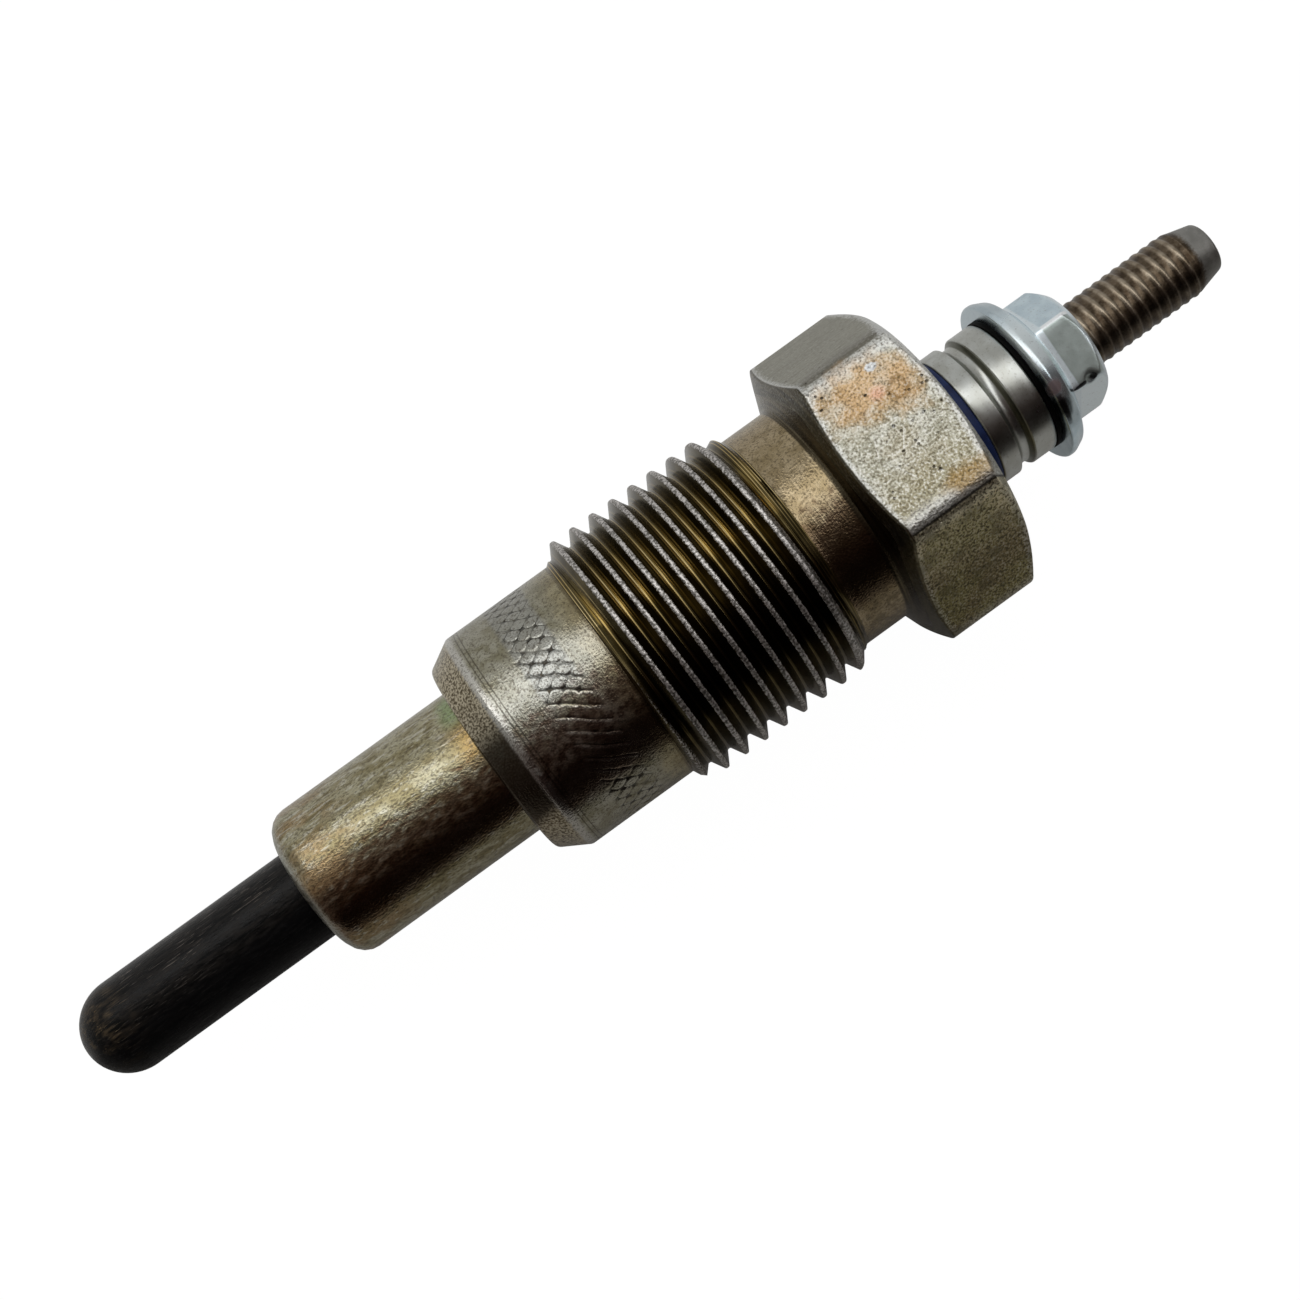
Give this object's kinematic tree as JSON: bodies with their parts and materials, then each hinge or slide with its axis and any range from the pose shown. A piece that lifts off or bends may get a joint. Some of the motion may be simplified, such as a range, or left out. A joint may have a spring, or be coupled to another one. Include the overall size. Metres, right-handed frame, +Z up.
{
  "type": "diesel glow plug",
  "caption": "Sheathed diesel glow plug: rod heater in a threaded steel shell with cone seat and hexagon, and a threaded stud terminal with collar and flange nut.",
  "frame": {"origin": "on the plug's axis, in the plane where the nose sleeve meets the cone seat", "axes": "+X along the axis from the heater tip to the terminal stud, +Z up with the plug lying on a flat of its hexagon"},
  "size_m": [0.0862, 0.0214, 0.019],
  "materials": {
    "plated_shell": "yellow plated steel, satin, worn to grey on the edges",
    "heater_tube": "heat blackened steel with fine lengthwise lines",
    "coil_wire": "plain resistance wire",
    "packed_powder": "matte packed powder",
    "seal_rubber": "matte rubber",
    "stud_steel": "dull brown grey steel",
    "blue_insulator": "dark blue moulded plastic",
    "collar_metal": "satin nickel plate",
    "black_washer": "matte black",
    "bright_nut": "bright zinc plate"
  },
  "bodies": {
    "root": {"body_shell": "plated_shell", "glow_tube": "heater_tube", "heating_coil": "coil_wire", "control_coil": "coil_wire", "magnesia_fill": "packed_powder", "tube_seal": "seal_rubber", "terminal_stud": "stud_steel", "shell_seal": "seal_rubber", "insulating_bush": "blue_insulator", "terminal_collar": "collar_metal", "terminal_washer": "black_washer", "flange_nut": "bright_nut"}
  },
  "joints": []
}
